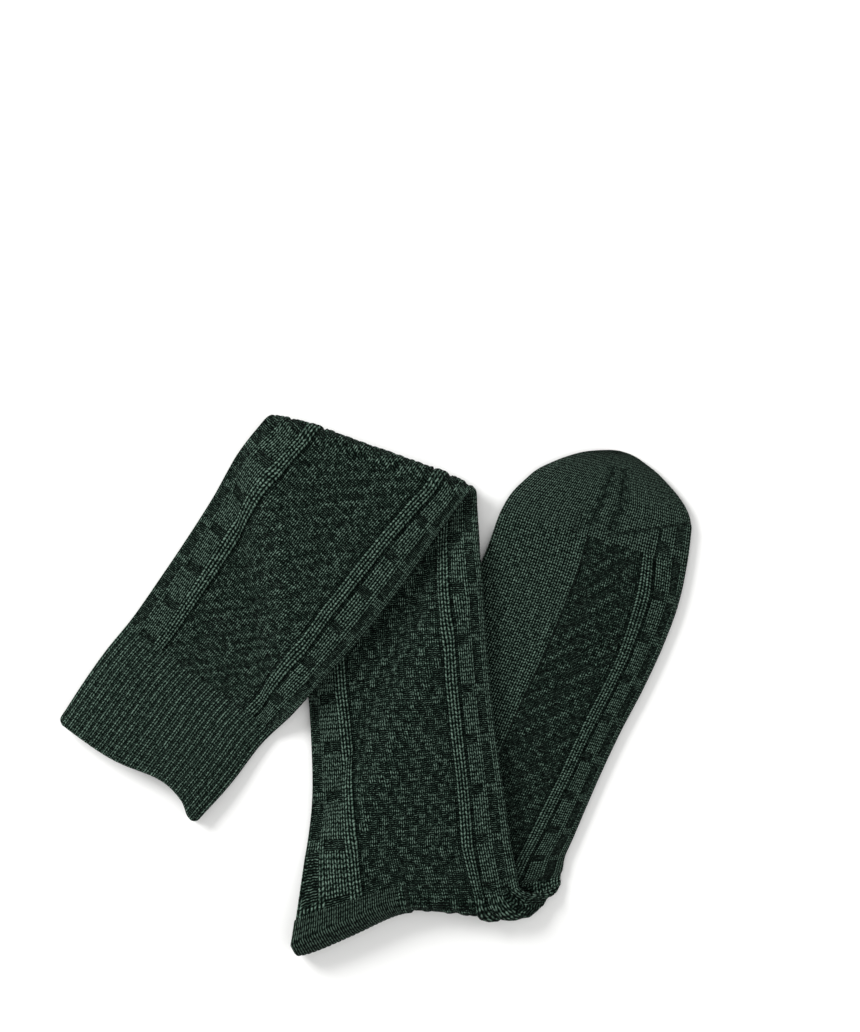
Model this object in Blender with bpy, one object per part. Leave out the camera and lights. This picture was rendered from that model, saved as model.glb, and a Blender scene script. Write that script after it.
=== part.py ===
"""A knee-high ribbed wool sock, lying where it was put down.

The sock is one knitted tube, pressed flat. Its leg is folded over once, so that the cuff points
down to the left, and its foot is tucked under the leg at the heel and comes out at the right.
Cuff, leg, heel, foot and toe are each a wall of knitting round the same hollow.

Lengths are in metres, +Z is up, and the sock lies on the plane z = 0.
"""

import math

import bmesh
import bpy
import numpy as np

# Leg, measured along the sock as if it were unfolded and pressed flat
LEG_LENGTH = 0.395
LEG_WIDTH = 0.094
CUFF_DEPTH = 0.053
RIM_DIP = 0.0060
DIP_PLACE = 0.40
DIP_SPREAD = 0.45

# Foot, measured from the middle of the turn under the heel
FOOT_REACH = 0.2258
FOOT_WIDTH = 0.087
TOE_LENGTH = 0.0398

# Knitted wall and the hollow that it goes round
WALL = 0.0022
HOLLOW = 0.0024
MOUTH = 0.0068
RIB_WIDTH = 0.0063
RIB_HEIGHT = 0.0009
CUFF_RIBS = 44
CUFF_RIB_HEIGHT = 0.0007
GATHER_HEIGHT = 0.0030

# How the sock lies
LEG_LEAN = math.radians(5.2)
FOLD_HEIGHT = 0.2033
FOLD_SLANT = math.radians(25.0)
CUFF_SLANT = math.radians(9.0)
FOOT_TURN = math.radians(22.4)
DRAPE_RUN = 0.021
FLATTENED = 0.0004
LAYER_GAP = 0.0006
PIECE_GAP = 0.0003

# Section of the flattened tube: a broad superellipse, rounded where the knitting turns over
SECTION_POWER = 4.0
EDGE_POWER = 2.0

# Heights of the layers
HALF = WALL + HOLLOW / 2
MOUTH_HALF = WALL + MOUTH / 2
LAYER_PITCH = 2 * HALF + 2 * RIB_HEIGHT + LAYER_GAP
ROLL = LAYER_PITCH / 2

# Edges of the unfolded leg. up is a share of LEG_LENGTH, left and right are shares of LEG_WIDTH
LEG_EDGES = (
    ("up", "left", "right"),
    (0.05, -0.495, 0.515),
    (0.14, -0.412, 0.498),
    (0.21, -0.390, 0.485),
    (0.28, -0.385, 0.482),
    (0.38, -0.400, 0.492),
    (0.47, -0.425, 0.500),
    (0.54, -0.435, 0.535),
    (0.60, -0.425, 0.580),
    (0.65, -0.402, 0.610),
    (0.70, -0.345, 0.630),
    (0.76, -0.290, 0.642),
    (0.81, -0.250, 0.655),
    (0.86, -0.213, 0.650),
    (0.91, -0.190, 0.677),
    (1.00, -0.118, 0.700),
)

# Line that the knitting turns round under the heel, from the heel's corner to the instep.
# place is a share of the way across the sock, the rest are shares of LEG_WIDTH
TURN_LINE = (
    ("place", "upper_across", "lower_across", "up"),
    (0.00, -0.568, -0.568, -0.088),
    (0.20, -0.315, -0.290, 0.005),
    (0.42, -0.050, -0.010, 0.083),
    (0.60, 0.138, 0.210, 0.070),
    (0.75, 0.300, 0.405, 0.054),
    (0.88, 0.425, 0.580, 0.052),
    (1.00, 0.535, 0.735, 0.090),
)

# Rows of the foot. along is a share of the foot up to the toe, across of FOOT_WIDTH
FOOT_ROWS = (
    ("left_along", "left_across", "right_along", "right_across"),
    (0.075, -0.374, 0.242, 0.682),
    (0.194, -0.322, 0.290, 0.693),
    (0.310, -0.293, 0.360, 0.708),
    (0.440, -0.264, 0.462, 0.732),
    (0.560, -0.241, 0.570, 0.765),
    (0.688, -0.213, 0.688, 0.812),
    (0.806, -0.190, 0.806, 0.845),
    (0.914, -0.172, 0.914, 0.855),
    (1.000, -0.161, 1.000, 0.838),
)

# Rows of the toe. along is a share of TOE_LENGTH, across of FOOT_WIDTH, thick of the tube's
TOE_ROWS = (
    ("left_along", "left_across", "right_along", "right_across", "thick"),
    (0.260, -0.126, 0.330, 0.812, 1.00),
    (0.490, -0.063, 0.560, 0.763, 1.00),
    (0.690, 0.023, 0.750, 0.688, 0.97),
    (0.845, 0.128, 0.885, 0.580, 0.88),
    (0.945, 0.243, 0.970, 0.475, 0.62),
)
TOE_TIP_ACROSS = 0.360

# Rows of the cuff. down is a share of CUFF_DEPTH, thick runs from the leg's, 0, to the mouth's, 1
CUFF_ROWS = (
    ("down", "thick", "dip"),
    (0.00, 1.00, 1.00),
    (0.08, 0.98, 0.90),
    (0.30, 0.85, 0.60),
    (0.60, 0.45, 0.25),
    (1.00, 0.00, 0.00),
)

# Places of the columns of mesh across one face, and of the raised ribs on it
FACE_COLUMNS = (0.012, 0.035, 0.085, 0.27, 0.35, 0.42, 0.50, 0.57, 0.64, 0.71, 0.90, 0.95, 0.982)
RIB_PLACES = (0.17, 0.80)
HEEL_PLACE = 0.42
HEEL_LAST_ROW = 3
LEG_END_BLEND = 0.65
LOWER_LEG_START = 0.072
LOWER_LEG_ROWS = 10
ROLL_STEPS = 6
UPPER_LEG_ROWS = 8

# Gathers of the instep where it turns under, and dents of the faces that lie upward
GATHERS = (
    ("place", "spread", "height"),
    (0.79, 0.045, 0.8),
    (0.90, 0.040, 1.0),
    (0.97, 0.025, 0.9),
)
DENTS = (
    ("row", "place", "rows", "spread", "depth"),
    (0.17, 0.64, 0.05, 0.09, 0.35),
    (0.22, 0.36, 0.04, 0.12, 0.30),
    (0.50, 0.45, 0.04, 0.14, 0.30),
    (0.89, 0.45, 0.03, 0.05, 0.60),
    (0.76, 0.52, 0.05, 0.05, 0.50),
)

# Colours as linear light, for each piece of knitting
WOOL = {
    "cuff": (0.022, 0.040, 0.031),
    "leg": (0.017, 0.032, 0.025),
    "heel": (0.020, 0.036, 0.028),
    "foot": (0.018, 0.034, 0.027),
    "toe": (0.024, 0.042, 0.034),
}
WOOL_ROUGHNESS = 0.92


def column(table, name):
    """One named column of a table, as numbers."""
    place = table[0].index(name)
    return np.array([row[place] for row in table[1:]])


def curve(xs, ys, at):
    """A smooth curve through the points of a table, straight past its ends."""
    slopes = np.gradient(ys, xs)
    at = np.asarray(at, dtype=float)
    inside = np.clip(at, xs[0], xs[-1])
    low = np.clip(np.searchsorted(xs, inside, side="right") - 1, 0, len(xs) - 2)
    step = xs[low + 1] - xs[low]
    t = (inside - xs[low]) / step
    start = ys[low] * (1 + 2 * t) * (1 - t) ** 2 + slopes[low] * step * t * (1 - t) ** 2
    end = ys[low + 1] * t**2 * (3 - 2 * t) - slopes[low + 1] * step * t**2 * (1 - t)
    past = (at - inside) * np.where(at < xs[0], slopes[0], slopes[-1])
    return start + end + past


def smooth(share):
    """Eases from 0 to 1."""
    share = np.clip(share, 0.0, 1.0)
    return share * share * (3 - 2 * share)


def leg_edge(side, up):
    """How far across the unfolded leg its left or right edge is, at a height."""
    return curve(
        column(LEG_EDGES, "up") * LEG_LENGTH, column(LEG_EDGES, side) * LEG_WIDTH, up
    )


def foot_axes(points):
    """Points of the leg's plan, measured along and across the foot."""
    across, up = points[..., 0], points[..., 1]
    along = across * math.sin(FOOT_TURN) + up * math.cos(FOOT_TURN)
    return along, across * math.cos(FOOT_TURN) - up * math.sin(FOOT_TURN)


def foot_plan(along, across):
    """The reverse: points of the foot in the leg's plan."""
    return np.stack(
        [
            along * math.sin(FOOT_TURN) + across * math.cos(FOOT_TURN),
            along * math.cos(FOOT_TURN) - across * math.sin(FOOT_TURN),
        ],
        axis=-1,
    )


def over_foot(points):
    """1 where a layer lies on the foot, easing to 0 beside it."""
    along, across = foot_axes(points)
    corner = np.array([column(TURN_LINE, "lower_across")[0], column(TURN_LINE, "up")[0]])
    corner_along, corner_across = foot_axes(corner * LEG_WIDTH)
    shin = FOOT_REACH - TOE_LENGTH
    rows = np.append(corner_along, column(FOOT_ROWS, "left_along") * shin)
    edge = np.append(corner_across, column(FOOT_ROWS, "left_across") * FOOT_WIDTH)
    return smooth((across - np.interp(along, rows, edge) + DRAPE_RUN) / DRAPE_RUN)


def over_leg(points):
    """1 where a layer lies on the lower leg, easing to 0 beside it."""
    across, up = points[..., 0], points[..., 1]
    return smooth((across - leg_edge("left", up) + DRAPE_RUN) / DRAPE_RUN)


def lay_leg(flat, half):
    """Points of the unfolded leg where they lie: folded over the slanting line, on what is below."""
    sine, cosine = math.sin(FOLD_SLANT), math.cos(FOLD_SLANT)
    across, up = flat[..., 0], flat[..., 1] - FOLD_HEIGHT
    past = across * sine + up * cosine
    along = across * cosine - up * sine
    angle = np.clip(past / ROLL, 0.0, math.pi)
    reach = np.where(past < 0, past, ROLL * np.sin(angle) - np.maximum(past - math.pi * ROLL, 0))
    plan = np.stack(
        [along * cosine + reach * sine, FOLD_HEIGHT - along * sine + reach * cosine], axis=-1
    )
    rise = ROLL * (1 - np.cos(angle)) * over_leg(plan)
    height = half - FLATTENED + LAYER_PITCH * over_foot(plan) + rise
    return np.concatenate([plan, height[..., None]], axis=-1)


class Row:
    """A line of the tube's middle from its left edge, x = -1, to its right edge, x = 1."""

    def __init__(self, points, half=HALF):
        self.points = points
        self.half = half


def leg_row(up, slant, half=HALF, dip=0.0):
    """A row of the leg that crosses its middle at a height, lower towards the right by a slant."""
    ends = []
    for side in ("left", "right"):
        height = up
        for _ in range(8):
            height = up - math.tan(slant) * float(leg_edge(side, height))
        ends.append(np.array([float(leg_edge(side, height)), height]))

    def points(x):
        flat = ends[0] + (ends[1] - ends[0]) * ((x + 1) / 2)[:, None]
        flat[:, 1] -= dip * np.exp(-(((x - DIP_PLACE) / DIP_SPREAD) ** 2))
        return lay_leg(flat, half)

    return Row(points, half)


def turn_row(angle):
    """A row where the knitting rolls under, from the leg above, 0, to the foot below, pi."""
    places = column(TURN_LINE, "place")

    def line(x):
        place = (x + 1) / 2
        upper = curve(places, column(TURN_LINE, "upper_across"), place)
        lower = curve(places, column(TURN_LINE, "lower_across"), place)
        across = upper + (lower - upper) * (1 - math.cos(angle)) / 2
        return LEG_WIDTH * np.stack([across, curve(places, column(TURN_LINE, "up"), place)], axis=-1)

    def points(x):
        axis = line(x)
        run = line(x + 0.01) - line(x - 0.01)
        run /= np.linalg.norm(run, axis=-1, keepdims=True)
        outward = np.stack([run[:, 1], -run[:, 0]], axis=-1)
        plan = axis + outward * ROLL * math.sin(angle)
        height = HALF - FLATTENED + LAYER_PITCH * over_foot(axis) * (1 + math.cos(angle)) / 2
        return np.concatenate([plan, height[:, None]], axis=-1)

    return Row(points)


def foot_row(left_along, left_across, right_along, right_across, half=HALF):
    """A straight row of the foot or the toe."""
    ends = foot_plan(
        np.array([left_along, right_along]), np.array([left_across, right_across])
    )

    def points(x):
        plan = ends[0] + (ends[1] - ends[0]) * ((x + 1) / 2)[:, None]
        return np.concatenate([plan, np.full((len(x), 1), half - FLATTENED)], axis=-1)

    return Row(points, half)


def between(first, second, share):
    """A row part of the way from one row to another."""
    return Row(lambda x: first.points(x) + (second.points(x) - first.points(x)) * share)


def cuff_rows():
    """The cuff from its rim to the leg."""
    rows = []
    for down, thick, dip in CUFF_ROWS[1:]:
        up = LEG_LENGTH - down * CUFF_DEPTH / math.cos(CUFF_SLANT)
        half = HALF + thick * (MOUTH_HALF - HALF)
        rows.append(leg_row(up, CUFF_SLANT, half, dip * RIM_DIP))
    return rows


def leg_rows():
    """The leg below the cuff: its upper part, the roll of the fold and its lower part."""
    top = LEG_LENGTH - CUFF_DEPTH / math.cos(CUFF_SLANT)
    roll_end = FOLD_HEIGHT + math.pi * ROLL / math.cos(FOLD_SLANT)
    rows = []
    for step in range(1, UPPER_LEG_ROWS + 1):
        share = step / UPPER_LEG_ROWS
        slant = CUFF_SLANT + (FOLD_SLANT - CUFF_SLANT) * smooth(share)
        rows.append(leg_row(top + (roll_end - top) * share, slant))
    for step in range(1, ROLL_STEPS + 1):
        rows.append(leg_row(roll_end + (FOLD_HEIGHT - roll_end) * step / ROLL_STEPS, FOLD_SLANT))
    low = LOWER_LEG_START * LEG_LENGTH
    for step in range(1, LOWER_LEG_ROWS + 1):
        share = step / LOWER_LEG_ROWS
        up = FOLD_HEIGHT + (low - FOLD_HEIGHT) * share
        rows.append(leg_row(up, FOLD_SLANT * (1 - smooth(share))))
    return rows + [between(rows[-1], turn_row(0.0), LEG_END_BLEND)]


def turn_rows():
    """The turn under the heel."""
    return [turn_row(math.pi * step / ROLL_STEPS) for step in range(ROLL_STEPS + 1)]


def foot_rows():
    """The foot up to the toe."""
    shin = FOOT_REACH - TOE_LENGTH
    rows = []
    for left_along, left_across, right_along, right_across in FOOT_ROWS[1:]:
        rows.append(
            foot_row(
                left_along * shin,
                left_across * FOOT_WIDTH,
                right_along * shin,
                right_across * FOOT_WIDTH,
            )
        )
    return [between(turn_row(math.pi), rows[0], 0.5)] + rows


def toe_rows():
    """The toe up to the last row before its tip."""
    start = FOOT_REACH - TOE_LENGTH
    rows = []
    for left_along, left_across, right_along, right_across, thick in TOE_ROWS[1:]:
        rows.append(
            foot_row(
                start + left_along * TOE_LENGTH,
                left_across * FOOT_WIDTH,
                start + right_along * TOE_LENGTH,
                right_across * FOOT_WIDTH,
                thick * HALF,
            )
        )
    return rows


def section(shares, half_width, half_height):
    """The flattened tube's section, at shares of the way round it from its left edge.

    Gives the place across and above the middle, and the way out of the section there.
    """
    turn = np.linspace(0.0, 2 * math.pi, 1441)
    cosine, sine = np.cos(turn), np.sin(turn)
    x = -half_width * np.sign(cosine) * np.abs(cosine) ** (2 / SECTION_POWER)
    y = half_height * np.sign(sine) * np.abs(sine) ** (2 / EDGE_POWER)
    length = np.concatenate([[0.0], np.cumsum(np.hypot(np.diff(x), np.diff(y)))])
    at = (np.asarray(shares) % 1.0) * length[-1]
    x_at, y_at = np.interp(at, length, x), np.interp(at, length, y)
    out_x = np.sign(x_at) * np.abs(x_at / half_width) ** (SECTION_POWER - 1) / half_width
    out_y = np.sign(y_at) * np.abs(y_at / half_height) ** (EDGE_POWER - 1) / half_height
    size = np.maximum(np.hypot(out_x, out_y), 1e-9)
    return x_at, y_at, out_x / size, out_y / size


def face_shares():
    """Shares of the way round the tube of the leg's and foot's columns of mesh, from the left edge."""
    reach = RIB_WIDTH / LEG_WIDTH / 2
    ribs = [place + step * reach for place in RIB_PLACES for step in (-1, 0, 1)]
    places = sorted([*FACE_COLUMNS, *ribs])
    upper = [0.0] + [place / 2 for place in places] + [0.5]
    return np.array(upper + [1 - place / 2 for place in reversed(places)])


def rib_relief(shares):
    """Height of the raised ribs, which run down both faces of the leg and the foot."""
    place = np.where(shares <= 0.5, shares, 1 - shares) * 2
    reach = RIB_WIDTH / LEG_WIDTH / 2
    relief = np.zeros(len(shares))
    for rib in RIB_PLACES:
        relief += np.clip(1 - np.abs(place - rib) / reach, 0, 1)
    return relief * RIB_HEIGHT


def gather_relief(shares):
    """Height of the gathers on the outside of the turn."""
    relief = np.zeros(len(shares))
    for place, spread, height in GATHERS[1:]:
        relief += height * np.clip(1 - np.abs(shares * 2 - place) / spread, 0, 1)
    return np.where(shares <= 0.5, relief, 0.0) * GATHER_HEIGHT


def dent_depth(row_share, shares, upward):
    """Depth of the dents in whichever face of the tube lies upward at a row."""
    place = np.where(shares <= 0.5, shares, 1 - shares) * 2
    depth = np.zeros(len(shares))
    for row, middle, rows, spread, deep in DENTS[1:]:
        near = ((row_share - row) / rows) ** 2 + ((place - middle) / spread) ** 2
        depth += deep * HOLLOW * np.exp(-near)
    face = np.where(shares <= 0.5, 1.0, -1.0)
    edge = (shares < 0.01) | (shares > 0.99) | (np.abs(shares - 0.5) < 0.01)
    return np.where((face * upward > 0) & ~edge, depth, 0.0)


def frame_of(rows, index, x):
    """Middle of the tube at a row, and unit steps across, along and out of it."""
    here = rows[index].points(x)
    before = rows[max(index - 1, 0)].points(x)
    after = rows[min(index + 1, len(rows) - 1)].points(x)
    back, ahead = here - before, after - here
    if index == 0:
        back = ahead
    if index == len(rows) - 1:
        ahead = back
    back_size = np.linalg.norm(back, axis=-1, keepdims=True)
    ahead_size = np.linalg.norm(ahead, axis=-1, keepdims=True)
    along = back * ahead_size / back_size + ahead * back_size / ahead_size
    step = 0.004
    across = rows[index].points(x + step) - rows[index].points(x - step)
    across /= np.linalg.norm(across, axis=-1, keepdims=True)
    out = np.cross(along, across)
    out /= np.linalg.norm(out, axis=-1, keepdims=True)
    along /= np.linalg.norm(along, axis=-1, keepdims=True)
    return here, across, along, out


def ring(rows, index, shares, relief, inner):
    """Points of the wall's outer or inner skin round one row of the tube."""
    ends = rows[index].points(np.array([-1.0, 1.0]))
    half_width = np.linalg.norm(ends[1] - ends[0]) / 2
    inset = WALL if inner else 0.0
    half = rows[index].half
    x, y, out_x, out_y = section(shares, half_width - inset, half - inset)
    middle, across, along, out = frame_of(rows, index, x / half_width)
    upward = np.where(out[:, 2] >= 0, 1.0, -1.0)
    y = y - upward * dent_depth(index / (len(rows) - 1), shares, upward)
    raised = 0.0 if inner else relief
    points = middle + out * (y + out_y * raised)[:, None] + across * (out_x * raised)[:, None]
    if not inner:
        points[:, 2] = np.maximum(points[:, 2], 0.0)
    return points, along


def skin(rows, first, last, shares, reliefs, inner, gap_before, gap_after):
    """Rings of one skin from a first to a last row, held gaps off the pieces beside it."""
    rings = []
    for index in range(first, last + 1):
        points, along = ring(rows, index, shares, reliefs(index, shares), inner)
        if index == first:
            points = points + along * gap_before
        if index == last:
            points = points - along * gap_after
        rings.append(points)
    return rings


def new_material(name):
    """Plain wool in a piece's colour."""
    material = bpy.data.materials.new(f"{name}_wool")
    material.use_nodes = True
    shader = material.node_tree.nodes["Principled BSDF"]
    shader.inputs["Base Color"].default_value = (*WOOL[name], 1.0)
    shader.inputs["Roughness"].default_value = WOOL_ROUGHNESS
    shader.inputs["Metallic"].default_value = 0.0
    material.diffuse_color = (*WOOL[name], 1.0)
    return material


def knit(name, outer, inner, cells, tip=None):
    """One piece: quads of both skins in each cell, and the cut edges between the skins.

    cells says which quads are knitted, by row and column. The columns go round, so the last one
    meets the first. With a tip, both skins are closed past their last ring.
    """
    mesh = bmesh.new()
    skins = [[[mesh.verts.new(point) for point in ring] for ring in side] for side in (outer, inner)]
    round_count = len(outer[0])
    for side, rings in enumerate(skins):
        for row in range(len(rings) - 1):
            for place in range(round_count):
                if not cells[row][place]:
                    continue
                beside = (place + 1) % round_count
                corners = [
                    rings[row][place],
                    rings[row][beside],
                    rings[row + 1][beside],
                    rings[row + 1][place],
                ]
                mesh.faces.new(corners if side == 0 else corners[::-1])
    if tip is not None:
        for rings, point in zip(skins, tip):
            middle = mesh.verts.new(point)
            for place in range(round_count):
                mesh.faces.new([rings[-1][place], rings[-1][(place + 1) % round_count], middle])
    match = {}
    for outer_ring, inner_ring in zip(*skins):
        match.update(zip(outer_ring, inner_ring))
    mesh.verts.index_update()
    for edge in [edge for edge in mesh.edges if edge.is_boundary]:
        first, second = sorted(edge.verts, key=lambda vertex: vertex.index)
        if first in match and second in match:
            mesh.faces.new([first, second, match[second]])
            mesh.faces.new([first, match[second], match[first]])
    loose = [vertex for vertex in mesh.verts if not vertex.link_faces]
    bmesh.ops.delete(mesh, geom=loose, context="VERTS")
    bmesh.ops.recalc_face_normals(mesh, faces=mesh.faces)
    data = bpy.data.meshes.new(name)
    mesh.to_mesh(data)
    mesh.free()
    data.materials.append(new_material(name))
    data.shade_smooth()
    piece = bpy.data.objects.new(name, data)
    bpy.context.collection.objects.link(piece)
    return piece


def no_relief(_index, shares):
    """A smooth wall."""
    return np.zeros(len(shares))


def make_cuff(rows, last):
    """The cuff: a band of single ribs, open at its rim."""
    shares = np.arange(2 * CUFF_RIBS) / (2 * CUFF_RIBS)

    def ribs(_index, shares):
        return np.where(np.arange(len(shares)) % 2 == 0, CUFF_RIB_HEIGHT, 0.0)

    outer = skin(rows, 0, last, shares, ribs, False, 0.0, PIECE_GAP / 2)
    inner = skin(rows, 0, last, shares, no_relief, True, 0.0, PIECE_GAP / 2)
    return knit("cuff", outer, inner, np.ones((last, len(shares)), bool))


def make_leg(rows, first, last):
    """The leg, folded over once."""
    shares = face_shares()
    gaps = (PIECE_GAP / 2, PIECE_GAP / 2)
    outer = skin(rows, first, last, shares, lambda _index, s: rib_relief(s), False, *gaps)
    inner = skin(rows, first, last, shares, no_relief, True, *gaps)
    return knit("leg", outer, inner, np.ones((last - first, len(shares)), bool))


def make_heel(rows, first, last):
    """The heel: the back of the tube at the turn, plain on both sides of the sock's back."""
    every = face_shares()
    gap = PIECE_GAP / (2 * LEG_WIDTH)
    upper = [share for share in every if 0 < share < HEEL_PLACE / 2 - gap]
    side = [*upper, HEEL_PLACE / 2 - gap]
    shares = np.array([1 - share for share in reversed(side)] + [0.0] + side)
    gaps = (PIECE_GAP / 2, PIECE_GAP)
    outer = skin(rows, first, last, shares, no_relief, False, *gaps)
    inner = skin(rows, first, last, shares, no_relief, True, *gaps)
    cells = np.ones((last - first, len(shares)), bool)
    cells[:, -1] = False
    return knit("heel", outer, inner, cells)


def make_foot(rows, first, heel_end, last):
    """The foot: the instep beside the heel, and the whole tube past it."""
    shares = face_shares()
    turn_rows_here = range(first, first + ROLL_STEPS + 2)

    def relief(index, shares):
        gathers = gather_relief(shares) if index in turn_rows_here else 0.0
        return np.maximum(rib_relief(shares), gathers)

    gaps = (PIECE_GAP / 2, PIECE_GAP / 2)
    outer = skin(rows, first, last, shares, relief, False, *gaps)
    inner = skin(rows, first, last, shares, no_relief, True, *gaps)
    beside = np.roll(shares, -1)
    instep = (shares >= HEEL_PLACE / 2 - 1e-6) & (beside <= 1 - HEEL_PLACE / 2 + 1e-6)
    instep &= beside > shares
    cells = np.ones((last - first, len(shares)), bool)
    cells[: heel_end - first] = instep
    return knit("foot", outer, inner, cells)


def make_toe(rows, first, last):
    """The toe: a plain cup of knitting that closes the foot."""
    shares = face_shares()
    outer = skin(rows, first, last, shares, no_relief, False, PIECE_GAP / 2, 0.0)
    inner = skin(rows, first, last - 1, shares, no_relief, True, PIECE_GAP / 2, 0.0)
    tip = foot_plan(np.array(FOOT_REACH), np.array(TOE_TIP_ACROSS * FOOT_WIDTH))
    level = TOE_ROWS[-1][-1] * HALF - FLATTENED
    inner_level = inner[-1][:, 2].mean()
    inner_tip = inner[-1].mean(axis=0)
    tips = ((tip[0], tip[1], level), (inner_tip[0], inner_tip[1], inner_level))
    cells = np.ones((last - first, len(shares)), bool)
    return knit("toe", outer, inner, cells, tips)


def place_all(pieces):
    """Leans the sock as it lies and puts the middle of its underside at the origin."""
    cosine, sine = math.cos(LEG_LEAN), math.sin(LEG_LEAN)
    turned = []
    for piece in pieces:
        count = len(piece.data.vertices)
        points = np.empty(count * 3, dtype=np.float32)
        piece.data.vertices.foreach_get("co", points)
        points = points.reshape(-1, 3).astype(float)
        across, up = points[:, 0].copy(), points[:, 1].copy()
        points[:, 0] = across * cosine - up * sine
        points[:, 1] = across * sine + up * cosine
        turned.append(points)
    every = np.concatenate(turned)
    middle = (every.min(axis=0) + every.max(axis=0)) / 2
    middle[2] = every[:, 2].min()
    for piece, points in zip(pieces, turned):
        piece.data.vertices.foreach_set("co", (points - middle).astype(np.float32).ravel())
        piece.data.update()


def main():
    """Builds the five pieces."""
    for thing in list(bpy.data.objects):
        bpy.data.objects.remove(thing, do_unlink=True)
    cuff, leg, turn, foot, toe = cuff_rows(), leg_rows(), turn_rows(), foot_rows(), toe_rows()
    rows = cuff + leg + turn + foot + toe
    cuff_end = len(cuff) - 1
    leg_end = cuff_end + len(leg)
    heel_end = leg_end + len(turn) + HEEL_LAST_ROW
    foot_end = leg_end + len(turn) + len(foot)
    place_all(
        [
            make_cuff(rows, cuff_end),
            make_leg(rows, cuff_end, leg_end),
            make_heel(rows, leg_end, heel_end),
            make_foot(rows, leg_end, heel_end, foot_end),
            make_toe(rows, foot_end, len(rows) - 1),
        ]
    )


main()
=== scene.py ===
# %% [markdown]
# # A folded knee-high wool sock
#
# This script dresses a plain model of one knitted sock. The sock lies flat: its leg is folded over
# once, so that the ribbed cuff points down to the left, and its foot is tucked under the leg and
# comes out at the right. The plain model fixes where everything is. What is added here is the
# knitting itself, stitch by stitch, and the look of the wool.

# %% Load the plain model
import math

import bmesh
import bpy
import numpy as np
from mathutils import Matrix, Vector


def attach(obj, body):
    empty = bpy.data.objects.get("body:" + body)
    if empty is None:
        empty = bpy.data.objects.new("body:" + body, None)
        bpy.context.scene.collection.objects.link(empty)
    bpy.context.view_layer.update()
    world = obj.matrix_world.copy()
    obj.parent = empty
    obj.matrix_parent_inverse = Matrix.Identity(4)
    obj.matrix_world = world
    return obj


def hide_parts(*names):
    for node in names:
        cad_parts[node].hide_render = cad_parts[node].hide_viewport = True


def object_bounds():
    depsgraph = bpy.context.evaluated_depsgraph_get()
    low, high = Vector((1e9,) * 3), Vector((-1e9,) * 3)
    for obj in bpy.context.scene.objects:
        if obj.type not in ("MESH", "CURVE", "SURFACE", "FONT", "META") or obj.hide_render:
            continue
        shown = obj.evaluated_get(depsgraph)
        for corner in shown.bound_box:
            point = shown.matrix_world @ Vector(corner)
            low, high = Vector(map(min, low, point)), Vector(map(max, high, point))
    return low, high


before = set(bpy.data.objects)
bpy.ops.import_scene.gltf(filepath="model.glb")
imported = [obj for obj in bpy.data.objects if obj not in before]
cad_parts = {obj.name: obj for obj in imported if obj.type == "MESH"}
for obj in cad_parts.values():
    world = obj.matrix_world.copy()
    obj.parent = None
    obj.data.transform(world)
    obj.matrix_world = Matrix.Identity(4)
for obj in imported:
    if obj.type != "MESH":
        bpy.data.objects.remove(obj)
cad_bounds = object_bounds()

print("plain model:", sorted(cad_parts), [[round(float(v), 4) for v in c] for c in cad_bounds])

# %% [markdown]
# ## Camera, floor and light
#
# The sock was seen from straight above, so the camera looks straight down through a long lens,
# which keeps the edges as they would be measured with a ruler. The frame is placed by two sizes:
# how much of the floor one pixel covers, and the pixel that lies over the model's origin.

# %% Put the camera above the sock
PHOTO_SIZE = (860, 1032)
PIXEL = 0.00045
ORIGIN_PIXEL = (375, 684)
LENS = 85.0
SENSOR = 24.0


def make_camera():
    """A long lens straight above the middle of the photo's frame."""
    camera = bpy.data.objects.new("camera", bpy.data.cameras.new("camera"))
    camera.data.lens = LENS
    camera.data.sensor_fit = "VERTICAL"
    camera.data.sensor_height = SENSOR
    camera.location = (
        (PHOTO_SIZE[0] / 2 - ORIGIN_PIXEL[0]) * PIXEL,
        (ORIGIN_PIXEL[1] - PHOTO_SIZE[1] / 2) * PIXEL,
        PHOTO_SIZE[1] * PIXEL * LENS / SENSOR,
    )
    camera.data.clip_end = 20.0
    bpy.context.collection.objects.link(camera)
    bpy.context.scene.camera = camera
    return camera


camera = make_camera()
print("camera at", [round(value, 3) for value in camera.location])

# %% [markdown]
# Shader maths is easier to read as a formula than as a heap of nodes. The class below wraps one
# socket, so that `wale * 2 - 1` adds the Math nodes by itself. Every other node comes from `add`.


# %% A way to write shader maths as formulas
class Wire:
    """One output socket, which can be used in a formula."""

    def __init__(self, paint, socket):
        self.paint = paint
        self.socket = socket

    def maths(self, operation, *others):
        """A Math node on this socket and up to two more values or wires."""
        values = {place + 1: other for place, other in enumerate(others)}
        return self.paint.add("ShaderNodeMath", {"operation": operation}, {0: self, **values})

    def __add__(self, other):
        return self.maths("ADD", other)

    __radd__ = __add__

    def __sub__(self, other):
        return self.maths("SUBTRACT", other)

    def __rsub__(self, other):
        return self.paint.add("ShaderNodeMath", {"operation": "SUBTRACT"}, {0: other, 1: self})

    def __mul__(self, other):
        return self.maths("MULTIPLY", other)

    __rmul__ = __mul__

    def __abs__(self):
        return self.maths("ABSOLUTE")


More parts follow.
